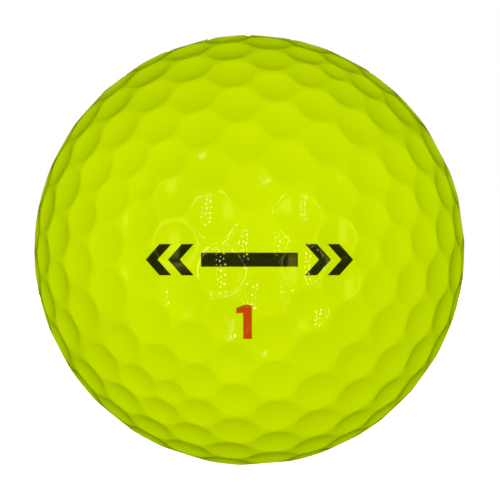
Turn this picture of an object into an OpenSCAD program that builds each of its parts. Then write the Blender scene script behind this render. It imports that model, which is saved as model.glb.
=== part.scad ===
// Golf ball: a solid rubber core inside a dimpled cover, with printed marks.
// Origin at the centre of the ball. The front print faces -Y and reads
// upright along +Z. Millimetres and degrees.

/* [Ball] */
// Outside diameter of the ball, over the lands between the dimples
ball_d = 42.7; // [42.67:0.01:43]
// Diameter of the rubber core, which is also the bore of the cover
core_d = 39.2; // [36:0.1:41]

/* [Dimples] */
// Rim diameter of the smallest dimple, at the pole and the five corners of each half
dimple_a = 2.9; // [2.5:0.05:2.95]
// Rim diameter of the dimples next to a corner
dimple_b = 3.9; // [3.5:0.05:3.95]
// Rim diameter of the second dimple from a corner
dimple_c = 4.15; // [3.7:0.05:4.15]
// Rim diameter of the common dimple
dimple_d = 4.35; // [3.9:0.05:4.35]
// Rim diameter of the largest dimple, in the middle of each triangle
dimple_e = 4.5; // [4:0.05:4.5]
// Angle between the dimple wall and the ball's surface at the rim
edge_angle = 17; // [12:0.5:18]

/* [Printed marks] */
// Thickness of the ink
ink_t = 0.04; // [0.02:0.005:0.06]
// Length of the alignment mark from tip to tip
mark_l = 19.4; // [12:0.2:22]
// Height of the alignment mark
mark_h = 2.9; // [2:0.1:4]
// Height of the bar between the arrowheads
bar_h = 1.3; // [0.5:0.1:2]
// Height of the middle of the alignment mark above the ball's centre
mark_z = -0.9; // [-2:0.1:2]
// Height of the play number
number_h = 3.2; // [2:0.1:4]
// Width of the stem of the play number
number_w = 0.8; // [0.5:0.05:1.2]
// Height of the middle of the play number above the ball's centre
number_z = -6.7; // [-8:0.1:-5]
// Sideways place of the play number
number_x = -0.5; // [-1:0.1:1]

/* [Hidden] */
$fn = 96;
ball_r = ball_d / 2;

// The ball is two matching halves that meet at a seam. Each half has a pole
// and five spokes, 72 degrees apart, that run from the pole to the seam.
spoke = 72;
half = spoke / 2;
// Turn of the spokes about the pole; the halves interlock at twice this angle
twist = 51;
// How the printed side sits on the dimple pattern
pose = [-146.6, -8.7, -88.4];

// Rows of the cap inside the five corners. Each row follows the great circle
// from one spoke to the next: [angle of the spoke dimple from the pole,
// how far the row bulges towards a plain ring, dimples from spoke to middle].
CAP = [
    [ 9.6, 0.0, [dimple_b]],
    [20.8, 0.2, [dimple_c, dimple_c]],
    [33.1, 0.2, [dimple_d, dimple_e]],
    [45.3, 0.1, [dimple_d, dimple_d, dimple_e]],
    [56.8, -0.05, [dimple_b, dimple_c, dimple_e]],
    [66.3, 0.0, [dimple_a, dimple_b, dimple_c, dimple_d]]
];
// Rings of 30 between the corners and the seam: [angle from the pole,
// height of the ring's wave, 1 when a gap and not a dimple lies on the spoke,
// dimples from spoke to middle].
RINGS = [
    [73.2, 1.0, 1, [dimple_b, dimple_c, dimple_c]],
    [83.6, 0.4, 0, [dimple_c, dimple_d, dimple_d, dimple_d]]
];

// Room that the first i dimples of list d take along their row, from the
// spoke to the middle of dimple i. s is 1 when the row starts with half a gap.
function along(d, i, s) = i == 0 ? s * d[0] / 2 : along(d, i - 1, s) + (d[i - 1] + d[i]) / 2;
// Share of the row, 0 at the spoke and 1 at the middle, for dimple i. m is 1
// when the last dimple lies on the middle.
function share(d, i, s, m) = along(d, i, s) / (along(d, len(d) - 1, s) + (1 - m) * d[len(d) - 1] / 2);

// Dimples of one cap row, as [angle from pole, angle from spoke, diameter]
function cap_row(k) =
    let (p = CAP[k][0], bulge = CAP[k][1], d = CAP[k][2],
         low = atan(tan(p) * cos(half)),
         reach = atan(tan(half) * sin(low)))
    [for (i = [0 : len(d) - 1])
        let (s = reach * (1 - share(d, i, 0, k % 2)),
             a = i == 0 ? 0 : half - atan(tan(s) / sin(low)),
             q = atan(tan(low) / cos(half - a)))
        [q + bulge * (p - q), a, d[i]]];
// Dimples of one ring of 30
function ring_row(k) =
    let (p = RINGS[k][0], wave = RINGS[k][1], s = RINGS[k][2], d = RINGS[k][3])
    [for (i = [0 : len(d) - 1])
        let (a = half * share(d, i, s, 1 - s))
        [p + wave * cos(5 * a), a, d[i]]];
// One mirror-symmetric wedge from a spoke to the middle of its triangle
WEDGE = [for (k = [0 : 5]) each cap_row(k), for (k = [0 : 1]) each ring_row(k)];
// All five wedges of one half, with their mirror images
HALF = [
    [0, 0, dimple_a],
    for (w = WEDGE, n = [0 : 4], side = [1, -1])
        if (side == 1 || (w[1] > 0.01 && w[1] < half - 0.01))
            [w[0], twist + n * spoke + side * w[1], w[2]]
];
// Both halves: the second is the first turned half a turn about a line on the seam
DIMPLES = [for (h = HALF) h, for (h = HALF) [180 - h[0], -h[1], h[2]]];

// Direction of a dimple from the ball's centre
function dir(w) = [sin(w[0]) * cos(w[1]), sin(w[0]) * sin(w[1]), cos(w[0])];
// A vector turned by the angles in pose
function turn_x(v, a) = [v[0], v[1] * cos(a) - v[2] * sin(a), v[1] * sin(a) + v[2] * cos(a)];
function turn_y(v, a) = [v[0] * cos(a) + v[2] * sin(a), v[1], v[2] * cos(a) - v[0] * sin(a)];
function turn_z(v, a) = [v[0] * cos(a) - v[1] * sin(a), v[0] * sin(a) + v[1] * cos(a), v[2]];
function posed(v) = turn_z(turn_y(turn_x(v, pose[0]), pose[1]), pose[2]);

// Half angle of a dimple's rim seen from the ball's centre, and the radius
// and the centre height of the sphere that forms the dimple
function rim(d) = asin(d / 2 / ball_r);
function dish_r(d) = d / 2 / sin(edge_angle - rim(d));
function dish_z(d) = ball_r * cos(rim(d)) + dish_r(d) * cos(edge_angle - rim(d));

// Dimples whose middle lies within reach degrees of the print's direction
function near(face, reach) = [for (w = DIMPLES) if (posed(dir(w)) * face > cos(reach)) w];

// The lens that a dimple removes. skin moves the dimple's wall out towards
// the ink's surface.
module lens(w, skin) {
    d = w[2];
    rotate(pose) rotate([0, w[0], w[1]])
        intersection() {
            translate([0, 0, dish_z(d)]) sphere(r = dish_r(d) - skin);
            sphere(r = ball_r + skin + 0.01);
        }
}

// The ball's outer form, or the same form raised by skin
module form(list, skin = 0) {
    difference() {
        sphere(r = ball_r + skin);
        for (w = list) lens(w, skin);
    }
}

// A thin film that follows the ball's surface inside a flat outline
module print(face, reach) {
    under = near(face, reach);
    intersection() {
        difference() {
            form(under, ink_t);
            form(under);
        }
        rotate([0, 0, face[1] < 0 ? 0 : 180])
            rotate([90, 0, 0])
                linear_extrude(height = ball_r + 1) children();
    }
}

// Outline of the alignment mark: a bar between two pairs of chevrons
module alignment_outline() {
    h = mark_h / 2;
    slope = 1.3;
    thick = 1.1;
    translate([0, mark_z]) {
        tip = mark_l / 2;
        translate([-tip + 5.2, -bar_h / 2]) square([mark_l - 10.4, bar_h]);
        for (s = [-1, 1], n = [0, 1])
            let (x = tip - n * 2.1)
            polygon([[s * x, 0], [s * (x - slope), h], [s * (x - slope - thick), h],
                     [s * (x - thick), 0], [s * (x - slope - thick), -h], [s * (x - slope), -h]]);
    }
}

// Outline of the play number, a plain figure one
module number_outline() {
    h = number_h / 2;
    w = number_w;
    translate([number_x, number_z])
        polygon([[w * 0.9, -h], [w * 0.9, h], [w * 0.1, h], [-w * 0.9, h - 0.3],
                 [-w * 0.9, h - 0.8], [-w * 0.1, h - 0.75], [-w * 0.1, -h]]);
}

module core() {
    color([0.82, 0.44, 0.13]) sphere(r = core_d / 2);
}

module cover() {
    color([0.80, 0.90, 0.02])
        difference() {
            form(DIMPLES);
            sphere(r = core_d / 2);
        }
}

module front_alignment_mark() {
    color([0.06, 0.06, 0.05]) print([0, -1, 0], 36) alignment_outline();
}

module front_play_number() {
    color([0.80, 0.26, 0.03]) print([0, -cos(18), -sin(18)], 16) number_outline();
}

module back_alignment_mark() {
    color([0.06, 0.06, 0.05]) print([0, 1, 0], 36) alignment_outline();
}

module back_play_number() {
    color([0.80, 0.26, 0.03]) print([0, cos(18), -sin(18)], 16) number_outline();
}

core();
cover();
front_alignment_mark();
front_play_number();
back_alignment_mark();
back_play_number();
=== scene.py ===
import math

import bmesh
import bpy
import numpy as np
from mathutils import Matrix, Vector


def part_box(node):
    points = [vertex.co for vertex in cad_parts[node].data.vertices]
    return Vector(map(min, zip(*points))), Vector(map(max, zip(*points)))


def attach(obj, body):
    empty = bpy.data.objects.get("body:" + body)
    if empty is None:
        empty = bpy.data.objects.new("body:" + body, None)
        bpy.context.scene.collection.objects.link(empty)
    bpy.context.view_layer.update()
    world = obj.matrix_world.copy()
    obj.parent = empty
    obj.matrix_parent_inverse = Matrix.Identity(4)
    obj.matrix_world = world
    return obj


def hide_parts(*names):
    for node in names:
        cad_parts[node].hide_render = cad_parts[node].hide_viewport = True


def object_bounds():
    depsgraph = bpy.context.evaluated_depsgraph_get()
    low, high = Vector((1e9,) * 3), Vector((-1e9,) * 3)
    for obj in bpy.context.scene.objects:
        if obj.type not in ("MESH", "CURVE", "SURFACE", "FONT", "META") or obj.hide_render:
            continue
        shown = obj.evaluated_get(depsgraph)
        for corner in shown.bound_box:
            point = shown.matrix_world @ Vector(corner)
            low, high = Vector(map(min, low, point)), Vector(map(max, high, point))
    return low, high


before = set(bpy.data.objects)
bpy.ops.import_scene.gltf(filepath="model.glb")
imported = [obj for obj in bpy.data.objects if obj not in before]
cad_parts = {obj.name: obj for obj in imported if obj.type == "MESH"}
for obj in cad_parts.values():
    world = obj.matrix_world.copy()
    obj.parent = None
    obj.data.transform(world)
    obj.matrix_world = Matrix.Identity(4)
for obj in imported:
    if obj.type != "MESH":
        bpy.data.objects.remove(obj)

CAD_BOX = [list(v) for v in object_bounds()]

# ---------------------------------------------------------------- sizes
# The ball's own numbers, in millimetres and degrees; lengths below are turned
# into metres where the meshes are made.
lo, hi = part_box("cover")
BALL_R = 21.35
CORE_R = (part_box("core")[1][2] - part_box("core")[0][2]) * 500.0
EDGE = 18.5                     # angle between a dimple's wall and the ball at the rim, before the rim is rounded off
SOFT = 0.085                    # how much of the rim the moulding and the paint round off
A, B, C, D, E = 2.9, 3.9, 4.15, 4.35, 4.5
SPOKE, HALF, TWIST = 72.0, 36.0, 51.0
POSE = (-146.6, -8.7, -88.4)
CAP = [
    (9.6, 0.0, (B,)),
    (20.8, 0.2, (C, C)),
    (33.1, 0.2, (D, E)),
    (45.3, 0.1, (D, D, E)),
    (56.8, -0.05, (B, C, E)),
    (66.3, 0.0, (A, B, C, D)),
]
RINGS = [
    (73.2, 1.0, 1, (B, C, C)),
    (83.6, 0.4, 0, (C, D, D, D)),
]


def rad(a):
    return math.radians(a)


def share(d, i, s, m):
    along = [s * d[0] / 2]
    for j in range(1, len(d)):
        along.append(along[-1] + (d[j - 1] + d[j]) / 2)
    return along[i] / (along[-1] + (1 - m) * d[-1] / 2)


def wedge():
    """The dimples of one wedge, from a spoke to the middle of its triangle: angle from the pole, angle from the spoke, diameter."""
    out = []
    for k, (p, bulge, d) in enumerate(CAP):
        low = math.degrees(math.atan(math.tan(rad(p)) * math.cos(rad(HALF))))
        reach = math.degrees(math.atan(math.tan(rad(HALF)) * math.sin(rad(low))))
        for i in range(len(d)):
            s = reach * (1 - share(d, i, 0, k % 2))
            a = 0.0 if i == 0 else HALF - math.degrees(math.atan(math.tan(rad(s)) / math.sin(rad(low))))
            q = math.degrees(math.atan(math.tan(rad(low)) / math.cos(rad(HALF - a))))
            out.append((q + bulge * (p - q), a, d[i]))
    for p, wave, s, d in RINGS:
        for i in range(len(d)):
            a = HALF * share(d, i, s, 1 - s)
            out.append((p + wave * math.cos(rad(5 * a)), a, d[i]))
    return out


def layout():
    half = [(0.0, 0.0, A)]
    for p, a, d in wedge():
        for n in range(5):
            for side in (1, -1):
                if side == 1 or 0.01 < a < HALF - 0.01:
                    half.append((p, TWIST + n * SPOKE + side * a, d))
    both = half + [(180 - p, -a, d) for p, a, d in half]
    x, y, z = (rad(v) for v in POSE)
    rx = np.array([[1, 0, 0], [0, math.cos(x), -math.sin(x)], [0, math.sin(x), math.cos(x)]])
    ry = np.array([[math.cos(y), 0, math.sin(y)], [0, 1, 0], [-math.sin(y), 0, math.cos(y)]])
    rz = np.array([[math.cos(z), -math.sin(z), 0], [math.sin(z), math.cos(z), 0], [0, 0, 1]])
    turn = rz @ ry @ rx
    axes = np.array([
        (math.sin(rad(p)) * math.cos(rad(a)), math.sin(rad(p)) * math.sin(rad(a)), math.cos(rad(p)))
        for p, a, d in both
    ]) @ turn.T
    return axes, np.array([d for p, a, d in both])


AXES, DIAM = layout()
RIM = np.arcsin(DIAM / 2 / BALL_R)                       # half angle of each rim
DISH_R = DIAM / 2 / np.sin(rad(EDGE) - RIM)              # radius of each dimple's sphere
DISH_Z = BALL_R * np.cos(RIM) + DISH_R * np.cos(rad(EDGE) - RIM)


def smin(a, b, k):
    h = np.maximum(k - np.abs(a - b), 0) / k
    return np.minimum(a, b) - h * h * k * 0.25


def surface(direction):
    """Distance from the ball's centre to its dimpled surface, in millimetres, along unit vectors."""
    direction = np.atleast_2d(direction)
    r = np.full(len(direction), BALL_R)
    near = np.argpartition(-(direction @ AXES.T) / np.cos(RIM), 4, axis=1)[:, :4]
    # from the furthest to the nearest, so the result doesn't depend on the order found
    score = np.take_along_axis((direction @ AXES.T) / np.cos(RIM), near, axis=1)
    near = np.take_along_axis(near, np.argsort(score, axis=1), axis=1)
    for j in range(4):
        i = near[:, j]
        c = np.clip((direction * AXES[i]).sum(1), -1, 1)
        inside = DISH_R[i] ** 2 - DISH_Z[i] ** 2 * (1 - c * c)
        dish = np.where(inside > 0, DISH_Z[i] * c - np.sqrt(np.maximum(inside, 0)), BALL_R + 9)
        r = smin(r, dish, SOFT)
    return r


def normals(direction):
    """Outward unit normals of the dimpled surface along unit vectors."""
    direction = np.atleast_2d(direction)
    t = np.where(np.abs(direction[:, 2:3]) < 0.8, [[0, 0, 1.0]], [[1.0, 0, 0]])
    u = np.cross(t, direction)
    u /= np.linalg.norm(u, axis=1, keepdims=True)
    v = np.cross(direction, u)
    e = 2e-4
    p = []
    for w in (u, -u, v, -v):
        q = direction + e * w
        q /= np.linalg.norm(q, axis=1, keepdims=True)
        p.append(q * surface(q)[:, None])
    n = np.cross(p[0] - p[1], p[2] - p[3])
    return n / np.linalg.norm(n, axis=1, keepdims=True)


def unit(v):
    return v / np.linalg.norm(v, axis=-1, keepdims=True)


# ---------------------------------------------------------------- cells
def cells():
    """Each dimple's cell: its corners in order round the dimple, as unit vectors, and the neighbour across each side. The cells come from the hull of the axes, lifted by the size of each rim."""
    lift = AXES / np.cos(RIM)[:, None]
    bm = bmesh.new()
    for p in lift:
        bm.verts.new(p)
    bm.verts.ensure_lookup_table()
    for i, v in enumerate(bm.verts):
        v.index = i
    where = {tuple(round(float(c), 6) for c in v.co): i for i, v in enumerate(bm.verts)}
    bmesh.ops.convex_hull(bm, input=bm.verts[:])
    faces = []
    for f in bm.faces:
        ids = [where[tuple(round(float(c), 6) for c in v.co)] for v in f.verts]
        for k in range(1, len(ids) - 1):
            faces.append((ids[0], ids[k], ids[k + 1]))
    bm.free()
    corner = []
    for a, b, c in faces:
        n = np.cross(lift[b] - lift[a], lift[c] - lift[a])
        n = n / np.linalg.norm(n)
        corner.append(n if n @ lift[a] > 0 else -n)
    corner = np.array(corner)
    around = [[] for _ in AXES]
    for k, f in enumerate(faces):
        for i in f:
            around[i].append(k)
    out = []
    for i, ks in enumerate(around):
        e1, e2 = frame_at(AXES[i])
        ang = [math.atan2(corner[k] @ e2, corner[k] @ e1) for k in ks]
        out.append([ks[j] for j in np.argsort(ang)])
    return corner, out


def frame_at(axis):
    t = np.array([0, 0, 1.0]) if abs(axis[2]) < 0.8 else np.array([1.0, 0, 0])
    e1 = unit(np.cross(t, axis))
    return e1, np.cross(axis, e1)


def build_cover():
    """The dimpled outer skin: rings of points in each dimple, stitched across the lands to shared points on the cell borders."""
    corner, rings = cells()
    dirs = [c for c in corner]
    border = {}

    def side(a, b):
        """Indices of the shared points from corner a to corner b, without b."""
        key = (min(a, b), max(a, b))
        if key not in border:
            p, q = corner[key[0]], corner[key[1]]
            gap = math.acos(max(-1, min(1, float(p @ q)))) * BALL_R
            n = max(1, round(gap / 0.44))
            mid = []
            for j in range(1, n):
                mid.append(len(dirs))
                dirs.append(unit(p + (q - p) * (j / n)))
            border[key] = mid
        mid = border[key]
        return [a] + (mid if a < b else mid[::-1])

    steps = 30
    marks = np.array([0.0, 0.30, 0.55, 0.75, 0.88, 0.945, 0.985, 1.02])
    tris = []
    for i, ks in enumerate(rings):
        axis = AXES[i]
        e1, e2 = frame_at(axis)
        loop = []
        for j, k in enumerate(ks):
            nxt = ks[(j + 1) % len(ks)]
            if nxt != k:
                loop += side(k, nxt)
        outer = np.array([dirs[k] for k in loop])
        oa = np.unwrap(np.arctan2(outer @ e2, outer @ e1))
        ring_ids = []
        phase = oa[0]
        ang = phase + np.arange(steps) * 2 * math.pi / steps
        centre = len(dirs)
        dirs.append(axis)
        # the last ring stays inside the cell, so that narrow lands keep their shape
        reach = np.min(np.arccos(np.clip(outer @ axis, -1, 1)))
        for m in marks[1:]:
            th = min(m * RIM[i], reach * 0.996)
            ids = []
            for a in ang:
                ids.append(len(dirs))
                dirs.append(unit(axis * math.cos(th) + (e1 * math.cos(a) + e2 * math.sin(a)) * math.sin(th)))
            ring_ids.append(ids)
        first = ring_ids[0]
        for j in range(steps):
            tris.append((centre, first[j], first[(j + 1) % steps]))
        for r0, r1 in zip(ring_ids, ring_ids[1:]):
            for j in range(steps):
                a, b = r0[j], r0[(j + 1) % steps]
                c, d = r1[(j + 1) % steps], r1[j]
                tris.append((a, d, c))
                tris.append((a, c, b))
        # stitch the last ring to the border loop, walking both by angle
        inner = ring_ids[-1]
        ia = ang.tolist() + [ang[0] + 2 * math.pi]
        oa = oa.tolist() + [oa[0] + 2 * math.pi]
        p = q = 0
        while p < steps or q < len(loop):
            go_outer = p >= steps or (q < len(loop) and (oa[q + 1] + oa[q]) / 2 <= (ia[p + 1] + ia[p]) / 2)
            a, b = inner[p % steps], loop[q % len(loop)]
            if go_outer:
                tris.append((a, b, loop[(q + 1) % len(loop)]))
                q += 1
            else:
                tris.append((a, b, inner[(p + 1) % steps]))
                p += 1
    return np.array(dirs), np.array(tris)


def to_mesh(name, co, tris, nor=None, shade=None):
    me = bpy.data.meshes.new(name)
    me.vertices.add(len(co))
    me.vertices.foreach_set("co", (co / 1000.0).astype(np.float32).ravel())
    me.loops.add(len(tris) * 3)
    me.loops.foreach_set("vertex_index", tris.astype(np.int32).ravel())
    me.polygons.add(len(tris))
    me.polygons.foreach_set("loop_start", np.arange(0, len(tris) * 3, 3, dtype=np.int32))
    me.update(calc_edges=True)
    me.polygons.foreach_set("use_smooth", np.ones(len(tris), bool))
    me.validate()
    if nor is not None:
        me.normals_split_custom_set_from_vertices(nor.astype(np.float32).tolist())
    ob = bpy.data.objects.new(name, me)
    bpy.context.scene.collection.objects.link(ob)
    return ob


def ico(n):
    """A sphere's directions and triangles, for the cover's inner wall."""
    bm = bmesh.new()
    bmesh.ops.create_icosphere(bm, subdivisions=n, radius=1.0)
    bm.verts.ensure_lookup_table()
    d = np.array([v.co[:] for v in bm.verts])
    t = np.array([[v.index for v in f.verts] for f in bm.faces])
    bm.free()
    return unit(d), t


# cover: outer skin and the inner wall that the core fills
dirs, tris = build_cover()
co = dirs * surface(dirs)[:, None]
nor = normals(dirs)
p, q, s = (co[tris[:, k]] for k in range(3))
flip = (np.cross(q - p, s - p) * (p + q + s)).sum(1) < 0
tris[flip] = tris[flip][:, ::-1]
wall_d, wall_t = ico(5)
all_co = np.vstack([co, wall_d * CORE_R])
all_nor = np.vstack([nor, -wall_d])
all_tris = np.vstack([tris, wall_t[:, ::-1] + len(co)])
cover = to_mesh("dimpled_cover", all_co, all_tris, all_nor)
print("cover triangles", len(all_tris))


# ---------------------------------------------------------------- prints
def refine(outline, step):
    """Triangles that fill a closed outline of (x, z) points, with corners no further apart than about step."""
    bm = bmesh.new()
    pts = []
    n = len(outline)
    for i in range(n):
        a, b = np.array(outline[i], float), np.array(outline[(i + 1) % n], float)
        m = max(1, int(math.ceil(np.linalg.norm(b - a) / step)))
        for j in range(m):
            pts.append(a + (b - a) * j / m)
    pts = np.array(pts)
    lo2, hi2 = pts.min(0), pts.max(0)
    grid = []
    rows = int((hi2[1] - lo2[1]) / (step * 0.866)) + 1
    for r in range(1, rows + 1):
        z = lo2[1] + r * step * 0.866
        x = lo2[0] + (0.5 * step if r % 2 else 0)
        while x < hi2[0]:
            if within(x, z, pts) and np.min(np.hypot(pts[:, 0] - x, pts[:, 1] - z)) > step * 0.55:
                grid.append((x, z))
            x += step
    from mathutils.geometry import delaunay_2d_cdt
    verts = [Vector(p) for p in pts] + [Vector(p) for p in grid]
    edges = [(i, (i + 1) % len(pts)) for i in range(len(pts))]
    out_v, _, out_f, *_ = delaunay_2d_cdt(verts, edges, [], 1, 1e-6)
    bm.free()
    return np.array([v[:] for v in out_v]), np.array(out_f)


def within(x, z, pts):
    inside = False
    j = len(pts) - 1
    for i in range(len(pts)):
        xi, zi = pts[i]
        xj, zj = pts[j]
        if (zi > z) != (zj > z) and x < (xj - xi) * (z - zi) / (zj - zi) + xi:
            inside = not inside
        j = i
    return inside


INK_T = 0.03


def print_film(name, outlines, face):
    """A closed film that follows the dimples inside flat outlines, seen from the front (-1) or the back (+1)."""
    co, nor, tris = [], [], []
    n0 = 0
    for outline in outlines:
        v, t = refine(outline, 0.16)
        x = v[:, 0] * -face
        y2 = BALL_R ** 2 - x * x - v[:, 1] ** 2
        # the outline is a straight prism, so find where it meets the surface
        d = np.c_[x, face * np.sqrt(y2), v[:, 1]]
        for _ in range(6):
            r = surface(unit(d))
            d = np.c_[x, face * np.sqrt(np.maximum(r * r - x * x - v[:, 1] ** 2, 0)), v[:, 1]]
        u = unit(d)
        nn = normals(u)
        top = u * surface(u)[:, None] + nn * INK_T
        base = u * surface(u)[:, None] - nn * 0.02
        m = len(v)
        # the flat outline's edge, as the sides that are used by one triangle only
        count = {}
        for a, b, c in t:
            for e in ((a, b), (b, c), (c, a)):
                count[e] = count.get(e, 0) + 1
        rim_e = [e for e in count if (e[1], e[0]) not in count]
        tt = t.copy()
        f = [tuple(k + n0 for k in w) for w in tt]
        g = [tuple(k + n0 + m for k in w[::-1]) for w in tt]
        h = []
        for a, b in rim_e:
            h.append((a + n0, a + n0 + m, b + n0 + m))
            h.append((a + n0, b + n0 + m, b + n0))
        co += [top, base]
        nor += [nn, -nn]
        tris += f + g + h
        n0 += 2 * m
    co, nor, tris = np.vstack(co), np.vstack(nor), np.array(tris)
    ob = to_mesh(name, co, tris, nor)
    # outward faces: the top's winding sets the sign for the whole film
    a, b, c = (co[tris[0, k]] for k in range(3))
    if np.cross(b - a, c - a) @ a < 0:
        ob.data.flip_normals()
        ob.data.normals_split_custom_set_from_vertices(nor.astype(np.float32).tolist())
    return ob


MARK_L, MARK_H, BAR_H, MARK_Z = 19.4, 2.9, 1.3, -0.9
NUM_H, NUM_W, NUM_X, NUM_Z = 3.2, 0.8, -0.5, -6.7


def mark_outlines():
    h, tip, slope, thick = MARK_H / 2, MARK_L / 2, 1.3, 1.1
    bar = tip - 5.2
    out = [[(-bar, MARK_Z - BAR_H / 2), (bar, MARK_Z - BAR_H / 2), (bar, MARK_Z + BAR_H / 2), (-bar, MARK_Z + BAR_H / 2)]]
    for s in (-1, 1):
        for n in (0, 1):
            x = tip - n * 2.1
            o = [(s * x, 0), (s * (x - slope), h), (s * (x - slope - thick), h), (s * (x - thick), 0),
                 (s * (x - slope - thick), -h), (s * (x - slope), -h)]
            out.append([(a, b + MARK_Z) for a, b in o])
    return out


def number_outlines():
    h, w = NUM_H / 2, NUM_W
    o = [(w * 0.9, -h), (w * 0.9, h), (w * 0.1, h), (-w * 0.9, h - 0.3), (-w * 0.9, h - 0.8), (-w * 0.1, h - 0.75), (-w * 0.1, -h)]
    return [[(a + NUM_X, b + NUM_Z) for a, b in o]]


front_mark = print_film("front_alignment_print", mark_outlines(), -1)
front_number = print_film("front_number_print", number_outlines(), -1)
back_mark = print_film("back_alignment_print", mark_outlines(), 1)
back_number = print_film("back_number_print", number_outlines(), 1)


# ---------------------------------------------------------------- core
def build_core():
    """The rubber core: a ground ball with a faint flash line where its mould halves met."""
    d, t = ico(6)
    band = np.exp(-((d[:, 2] * CORE_R) / 0.35) ** 2)
    r = CORE_R - 0.03 + 0.02 * band
    return to_mesh("rubber_core", d * r[:, None], t)


core = build_core()


# ---------------------------------------------------------------- materials
def material(name):
    m = bpy.data.materials.new(name)
    m.use_nodes = True
    nt = m.node_tree
    return m, nt, nt.nodes["Principled BSDF"]


def node(nt, kind, **values):
    n = nt.nodes.new(kind)
    for k, v in values.items():
        if k in n.inputs.keys():
            n.inputs[k].default_value = v
        else:
            setattr(n, k, v)
    return n


def ramp(nt, stops):
    n = nt.nodes.new("ShaderNodeValToRGB")
    n.color_ramp.elements[0].position, n.color_ramp.elements[0].color = stops[0]
    n.color_ramp.elements[1].position, n.color_ramp.elements[1].color = stops[-1]
    for pos, col in stops[1:-1]:
        e = n.color_ramp.elements.new(pos)
        e.color = col
    return n


def cover_material():
    m, nt, b = material("optic_yellow_ionomer")
    co = nt.nodes.new("ShaderNodeTexCoord")
    cloud = node(nt, "ShaderNodeTexNoise", Scale=90.0, Detail=2.0, Roughness=0.5)
    nt.links.new(co.outputs["Object"], cloud.inputs["Vector"])
    tint = ramp(nt, [(0.35, (0.655, 0.79, 0.0, 1)), (0.65, (0.69, 0.83, 0.0, 1))])
    nt.links.new(cloud.outputs["Fac"], tint.inputs["Fac"])
    nt.links.new(tint.outputs["Color"], b.inputs["Base Color"])
    fine = node(nt, "ShaderNodeTexNoise", Scale=2600.0, Detail=1.0)
    nt.links.new(co.outputs["Object"], fine.inputs["Vector"])
    rough = nt.nodes.new("ShaderNodeMapRange")
    rough.inputs["To Min"].default_value = 0.40
    rough.inputs["To Max"].default_value = 0.50
    nt.links.new(fine.outputs["Fac"], rough.inputs["Value"])
    nt.links.new(rough.outputs["Result"], b.inputs["Roughness"])
    b.inputs["Specular IOR Level"].default_value = 0.0
    b.inputs["Subsurface Weight"].default_value = 0.0
    b.inputs["Subsurface Radius"].default_value = (1.0, 0.9, 0.05)
    b.inputs["Subsurface Scale"].default_value = 0.0006
    b.inputs["Coat Weight"].default_value = 1.0
    b.inputs["Coat Roughness"].default_value = 0.04
    b.inputs["Coat IOR"].default_value = 1.5
    return m


def ink_material(name, dark, light):
    m, nt, b = material(name)
    co = nt.nodes.new("ShaderNodeTexCoord")
    speck = node(nt, "ShaderNodeTexNoise", Scale=1500.0, Detail=3.0, Roughness=0.6)
    nt.links.new(co.outputs["Object"], speck.inputs["Vector"])
    tint = ramp(nt, [(0.3, (*dark, 1)), (0.7, (*light, 1))])
    nt.links.new(speck.outputs["Fac"], tint.inputs["Fac"])
    nt.links.new(tint.outputs["Color"], b.inputs["Base Color"])
    rough = nt.nodes.new("ShaderNodeMapRange")
    rough.inputs["To Min"].default_value = 0.35
    rough.inputs["To Max"].default_value = 0.5
    nt.links.new(speck.outputs["Fac"], rough.inputs["Value"])
    nt.links.new(rough.outputs["Result"], b.inputs["Roughness"])
    b.inputs["Specular IOR Level"].default_value = 0.0
    b.inputs["Coat Weight"].default_value = 1.0
    b.inputs["Coat Roughness"].default_value = 0.05
    b.inputs["Coat IOR"].default_value = 1.5
    return m


def core_material():
    m, nt, b = material("core_polybutadiene")
    co = nt.nodes.new("ShaderNodeTexCoord")
    mott = node(nt, "ShaderNodeTexNoise", Scale=260.0, Detail=5.0, Roughness=0.6)
    nt.links.new(co.outputs["Object"], mott.inputs["Vector"])
    tint = ramp(nt, [(0.3, (0.50, 0.16, 0.03, 1)), (0.7, (0.66, 0.25, 0.05, 1))])
    nt.links.new(mott.outputs["Fac"], tint.inputs["Fac"])
    nt.links.new(tint.outputs["Color"], b.inputs["Base Color"])
    grit = node(nt, "ShaderNodeTexNoise", Scale=3000.0, Detail=2.0)
    nt.links.new(co.outputs["Object"], grit.inputs["Vector"])
    bump = node(nt, "ShaderNodeBump", Strength=0.3, Distance=0.0001)
    nt.links.new(grit.outputs["Fac"], bump.inputs["Height"])
    nt.links.new(bump.outputs["Normal"], b.inputs["Normal"])
    rough = nt.nodes.new("ShaderNodeMapRange")
    rough.inputs["To Min"].default_value = 0.6
    rough.inputs["To Max"].default_value = 0.85
    nt.links.new(mott.outputs["Fac"], rough.inputs["Value"])
    nt.links.new(rough.outputs["Result"], b.inputs["Roughness"])
    return m


yellow = cover_material()
black = ink_material("black_pad_ink", (0.014, 0.018, 0.001), (0.025, 0.030, 0.002))
orange = ink_material("orange_pad_ink", (0.55, 0.055, 0.001), (0.62, 0.075, 0.002))
rubber = core_material()
for ob, mat, nodes, slot in (
    (cover, yellow, ("cover",), "cover_ionomer"),
    (core, rubber, ("core",), "core_rubber"),
    (front_mark, black, ("front_alignment_mark",), "black_ink"),
    (front_number, orange, ("front_play_number",), "orange_ink"),
    (back_mark, black, ("back_alignment_mark",), "black_ink"),
    (back_number, orange, ("back_play_number",), "orange_ink"),
):
    ob.data.materials.append(mat)
    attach(ob, "root")
    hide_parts(*nodes)


# ---------------------------------------------------------------- stage
def plane(name, size, at, grey):
    me = bpy.data.meshes.new(name)
    h = size / 2
    me.from_pydata([(-h, -h, 0), (h, -h, 0), (h, h, 0), (-h, h, 0)], [], [(0, 1, 2, 3)])
    ob = bpy.data.objects.new(name, me)
    ob.location = at
    bpy.context.scene.collection.objects.link(ob)
    m, nt, b = material(name + "_paint")
    b.inputs["Base Color"].default_value = (grey, grey, grey, 1)
    b.inputs["Roughness"].default_value = 0.9
    me.materials.append(m)
    return ob


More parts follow.
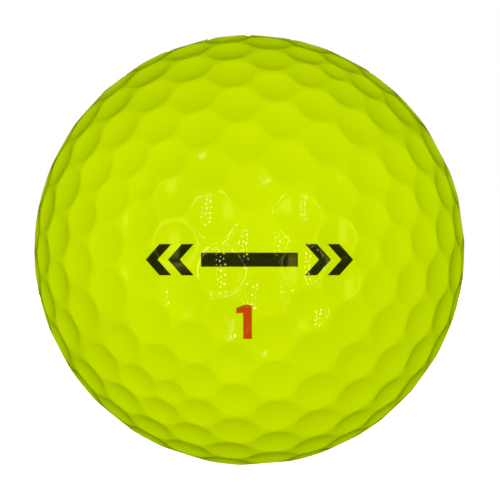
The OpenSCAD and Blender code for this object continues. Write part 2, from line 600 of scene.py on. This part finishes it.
floor = plane("floor", 4.0, (0, 0, CAD_BOX[0][2]), 0.8)
# the floor is only seen: it neither lights the ball nor hides the lamps below it
floor.visible_diffuse = False
floor.visible_glossy = False
floor.visible_shadow = False
fm = floor.data.materials[0].node_tree
fb = fm.nodes["Principled BSDF"]
fb.inputs["Emission Color"].default_value = (1, 1, 1, 1)
fb.inputs["Emission Strength"].default_value = 0.95
# seen from below, the floor is clear
under = fm.nodes.new("ShaderNodeNewGeometry")
clear = fm.nodes.new("ShaderNodeBsdfTransparent")
sheet = fm.nodes.new("ShaderNodeMixShader")
fm.links.new(under.outputs["Backfacing"], sheet.inputs["Fac"])
fm.links.new(fb.outputs["BSDF"], sheet.inputs[1])
fm.links.new(clear.outputs["BSDF"], sheet.inputs[2])
fm.links.new(sheet.outputs["Shader"], fm.nodes["Material Output"].inputs["Surface"])

LIGHT = 1.43                    # overall strength of the tent
world = bpy.data.worlds.new("studio")
bpy.context.scene.world = world
world.use_nodes = True
wn = world.node_tree
bg = wn.nodes["Background"]
bg.inputs["Color"].default_value = (1, 1, 1, 1)
seen = wn.nodes.new("ShaderNodeBackground")
seen.inputs["Color"].default_value = (1, 1, 1, 1)
seen.inputs["Strength"].default_value = 1.0
path = wn.nodes.new("ShaderNodeLightPath")
pick = wn.nodes.new("ShaderNodeMixShader")
wn.links.new(path.outputs["Is Camera Ray"], pick.inputs["Fac"])
wn.links.new(bg.outputs["Background"], pick.inputs[1])
wn.links.new(seen.outputs["Background"], pick.inputs[2])
wn.links.new(pick.outputs["Shader"], wn.nodes["World Output"].inputs["Surface"])
# a white tent, brightest round the lens and dimmer and greener towards the back
wc = wn.nodes.new("ShaderNodeTexCoord")
sep = wn.nodes.new("ShaderNodeSeparateXYZ")
wn.links.new(wc.outputs["Generated"], sep.inputs[0])
depth = wn.nodes.new("ShaderNodeMapRange")
for k, v in (("From Min", -1.0), ("From Max", 1.0), ("To Min", 0.0), ("To Max", 1.0)):
    depth.inputs[k].default_value = v
wn.links.new(sep.outputs["Y"], depth.inputs["Value"])
tent = ramp(wn, [
    (0.00, (0.94, 0.95, 0.90, 1)),
    (0.05, (0.86, 0.87, 0.83, 1)),
    (0.13, (0.73, 0.77, 0.74, 1)),
    (0.22, (0.60, 0.67, 0.65, 1)),
    (0.33, (0.47, 0.56, 0.55, 1)),
    (0.45, (0.36, 0.48, 0.47, 1)),
    (0.60, (0.27, 0.37, 0.37, 1)),
    (0.75, (0.25, 0.33, 0.33, 1)),
])
wn.links.new(depth.outputs["Result"], tent.inputs["Fac"])
wn.links.new(tent.outputs["Color"], bg.inputs["Color"])


def world_math(op, *args):
    n = wn.nodes.new("ShaderNodeMath")
    n.operation = op
    for k, v in enumerate(args):
        if isinstance(v, (int, float)):
            n.inputs[k].default_value = v
        else:
            wn.links.new(v, n.inputs[k])
    return n.outputs[0]


# more light from the sides than from above and below, and a slight lean behind
wide = world_math("MULTIPLY", sep.outputs["X"], sep.outputs["X"])
tall = world_math("MULTIPLY", sep.outputs["Z"], sep.outputs["Z"])
level = world_math("MULTIPLY_ADD", world_math("SUBTRACT", wide, tall), 0.22, 1.0)
lean = world_math("MULTIPLY_ADD", sep.outputs["X"], 0.16, world_math("MULTIPLY", sep.outputs["Z"], 0.10))
level = world_math("MULTIPLY_ADD", lean, sep.outputs["Y"], level)
level = world_math("MULTIPLY_ADD", sep.outputs["X"], 0.02, level)
level = world_math("MULTIPLY_ADD", sep.outputs["Z"], 0.04, level)
wn.links.new(world_math("MULTIPLY", level, LIGHT), bg.inputs["Strength"])
world.cycles_visibility.glossy = False


def place(az, el, dist):
    a, e = rad(az), rad(el)
    return Vector((math.sin(a) * math.cos(e), -math.cos(a) * math.cos(e), math.sin(e))) * dist


def lamp(name, kind, az, el, dist, power, diffuse, glossy, **sizes):
    L = bpy.data.lights.new(name, kind)
    L.energy = power
    for k, v in sizes.items():
        setattr(L, k, v)
    ob = bpy.data.objects.new(name, L)
    ob.location = place(az, el, dist)
    ob.rotation_euler = (-ob.location).to_track_quat("-Z", "Y").to_euler()
    ob.visible_diffuse, ob.visible_glossy = diffuse, glossy
    bpy.context.scene.collection.objects.link(ob)
    return ob


# a broad lamp straight behind the ball lights its far side
lamp("back_key", "AREA", 180, 8, 1.2, 8.0, True, False, shape="DISK", size=0.8)

def emitter(name, co, faces):
    """A glowing mesh that shows only in the gloss, and its emission node."""
    me = bpy.data.meshes.new(name)
    me.from_pydata([v[:] for v in co], [], faces)
    ob = bpy.data.objects.new(name, me)
    bpy.context.scene.collection.objects.link(ob)
    m = bpy.data.materials.new(name + "_light")
    m.use_nodes = True
    m.node_tree.nodes.clear()
    e = m.node_tree.nodes.new("ShaderNodeEmission")
    o = m.node_tree.nodes.new("ShaderNodeOutputMaterial")
    m.node_tree.links.new(e.outputs["Emission"], o.inputs["Surface"])
    me.materials.append(m)
    ob.visible_diffuse = False
    ob.visible_camera = False
    ob.visible_shadow = False
    return m.node_tree, e


def softbox(name, az, el, width, height, strength):
    """A diffuser that is brightest in its middle and fades towards its edges."""
    p = place(az, el, 0.9)
    q = (-p).to_track_quat("-Z", "Y")
    ux, uy = q @ Vector((1, 0, 0)), q @ Vector((0, 1, 0))
    w, h = width / 2, height / 2
    nt, e = emitter(name, [p - ux * w - uy * h, p + ux * w - uy * h, p + ux * w + uy * h, p - ux * w + uy * h], [(0, 1, 2, 3)])
    at = nt.nodes.new("ShaderNodeNewGeometry")
    fade = None
    for axis, half in ((ux, w), (uy, h)):
        d = nt.nodes.new("ShaderNodeVectorMath")
        d.operation = "DOT_PRODUCT"
        d.inputs[1].default_value = axis[:]
        nt.links.new(at.outputs["Position"], d.inputs[0])
        off = nt.nodes.new("ShaderNodeMath")
        off.operation = "SUBTRACT"
        off.inputs[1].default_value = p.dot(axis)
        nt.links.new(d.outputs["Value"], off.inputs[0])
        mag = nt.nodes.new("ShaderNodeMath")
        mag.operation = "ABSOLUTE"
        nt.links.new(off.outputs[0], mag.inputs[0])
        edge = nt.nodes.new("ShaderNodeMapRange")
        edge.interpolation_type = "SMOOTHSTEP"
        for k, v in (("From Min", half * 0.45), ("From Max", half), ("To Min", 1.0), ("To Max", 0.0)):
            edge.inputs[k].default_value = v
        nt.links.new(mag.outputs[0], edge.inputs["Value"])
        if fade is None:
            fade = edge.outputs["Result"]
        else:
            mul = nt.nodes.new("ShaderNodeMath")
            mul.operation = "MULTIPLY"
            nt.links.new(fade, mul.inputs[0])
            nt.links.new(edge.outputs["Result"], mul.inputs[1])
            fade = mul.outputs[0]
    level = nt.nodes.new("ShaderNodeMath")
    level.operation = "MULTIPLY"
    level.inputs[1].default_value = strength
    nt.links.new(fade, level.inputs[0])
    nt.links.new(level.outputs[0], e.inputs["Strength"])
    e.inputs["Color"].default_value = (0.95, 1.0, 0.12, 1)


# two tall softboxes either side of the lens
softbox("softbox_left", -38, 6, 0.28, 0.60, 1.7)
softbox("softbox_right", 39, -2, 0.24, 0.66, 1.7)
lamp("back_glint", "AREA", 180, 5, 1.2, 0.3, False, True, shape="DISK", size=0.16)


def bulbs(name, columns, low, high, step, strength):
    """Bare bulbs in upright strips, as one object of small squares that face the ball."""
    co, faces = [], []
    for c, (az, size) in enumerate(columns):
        for r in range(int((high - low) / step)):
            # each bulb sits a little off its place, as on a hand-wired strip
            el = low + step * (r + 0.35 * (c % 2)) + 0.7 * math.sin(5.1 * r + 2.3 * c)
            p = place(az + 0.6 * math.sin(3.7 * r + c), el, 0.6)
            q = (-p).to_track_quat("-Z", "Y")
            h = size * (1 + 0.25 * math.sin(2.9 * r + 1.7 * c))
            k = len(co)
            for x, y in ((-1, -1), (1, -1), (1, 1), (-1, 1)):
                co.append(p + q @ Vector((x * h, y * h, 0)))
            faces.append((k, k + 1, k + 2, k + 3))
    nt, e = emitter(name, co, faces)
    e.inputs["Color"].default_value = (1.0, 1.0, 0.45, 1)
    e.inputs["Strength"].default_value = strength


# strips of bulbs nearer the lens, which sparkle in the clear coat
bulbs("bulbs_left", ((-17.6, 0.0062), (-13.2, 0.0062), (-9.2, 0.0042)), -33, 30, 5.2, 22.0)
bulbs("bulbs_right", ((19.5, 0.0062), (23.6, 0.0056)), -30, 27, 4.8, 22.0)

# ---------------------------------------------------------------- camera
cam = bpy.data.cameras.new("camera")
cam.lens = 233.3
cam.sensor_width = 36.0
cam.clip_start, cam.clip_end = 0.01, 20.0
cam.shift_x = 0.0011
camera = bpy.data.objects.new("camera", cam)
camera.location = (0, -0.3224, 0)
camera.rotation_euler = (math.radians(90), 0, 0)
bpy.context.scene.collection.objects.link(camera)
bpy.context.scene.camera = camera

bpy.context.scene.view_settings.view_transform = "Standard"
bpy.context.scene.view_settings.look = "None"
bpy.context.scene.render.film_transparent = False

bpy.context.view_layer.update()
